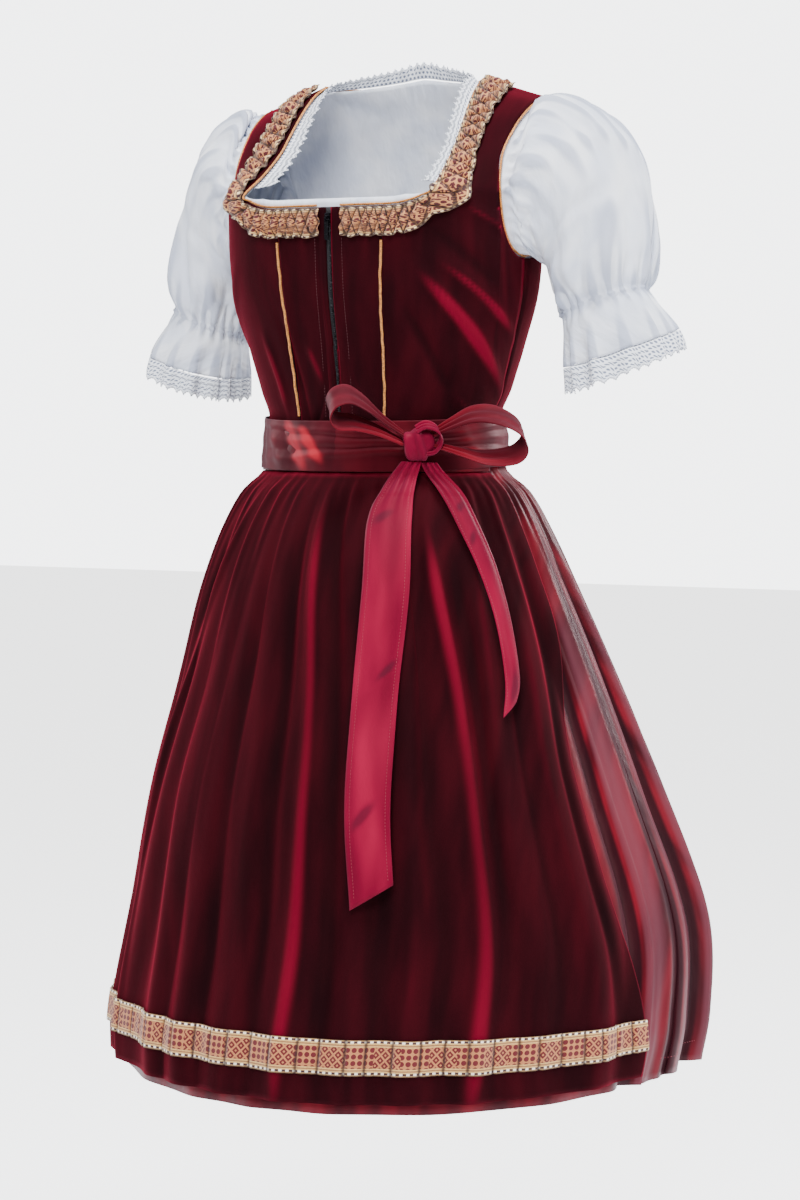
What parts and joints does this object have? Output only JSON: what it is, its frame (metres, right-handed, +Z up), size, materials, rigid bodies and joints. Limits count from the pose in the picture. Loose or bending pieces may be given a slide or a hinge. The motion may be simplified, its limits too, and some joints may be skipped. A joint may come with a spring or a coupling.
{
  "type": "dirndl with apron and blouse",
  "caption": "Hollow worn-form dirndl: velvet zip bodice, gathered skirt, braid-trimmed apron tied in a bow, short white blouse with puff sleeves.",
  "frame": {"origin": "midway between the neck ends of the two shoulder seams, where the wearer's shoulders hold the garment", "axes": "+Z up, -Y is the front, +X is the wearer's left"},
  "size_m": [0.6671, 0.6476, 1.1027],
  "materials": {
    "velvet": "deep burgundy velvet with a soft nap",
    "taffeta": "shot taffeta, burgundy with a mauve and red sheen",
    "ribbon": "taffeta ribbon, soft sheen",
    "cotton": "white cotton batiste, matt",
    "lace": "white cotton lace, matt",
    "braid": "woven braid, cream with red motifs",
    "cord": "twisted gold cord",
    "zip_tape": "black woven tape",
    "zip_metal": "black lacquer"
  },
  "bodies": {
    "dress": {"bodice_front_left": "velvet", "bodice_front_right": "velvet", "bodice_side_left": "velvet", "bodice_side_right": "velvet", "bodice_back": "velvet", "apron_panel": "velvet", "skirt_front": "taffeta", "skirt_back": "taffeta", "apron_waistband": "taffeta", "sash": "ribbon", "bow_knot": "ribbon", "bow_loop_right": "ribbon", "bow_loop_left": "ribbon", "bow_tail_long": "ribbon", "bow_tail_short": "ribbon", "blouse_front": "cotton", "blouse_back": "cotton", "sleeve_left": "cotton", "sleeve_right": "cotton", "cuff_lace_left": "lace", "cuff_lace_right": "lace", "neck_lace": "lace", "neck_ruffle_left": "braid", "neck_ruffle_right": "braid", "apron_braid": "braid", "neck_piping": "cord", "armhole_piping_left": "cord", "armhole_piping_right": "cord", "seam_piping_left": "cord", "seam_piping_right": "cord", "zip_tape": "zip_tape", "zip_slider": "zip_metal"},
    "zip_pull_tab": {"zip_pull": "zip_metal"}
  },
  "joints": [
    {"name": "zip_pull_swing", "type": "hinge", "parent": "dress", "child": "zip_pull_tab", "pos_m": [0, -0.1633, -0.153], "axis": [-1, 0, 0], "range_deg": [0, 150]}
  ]
}
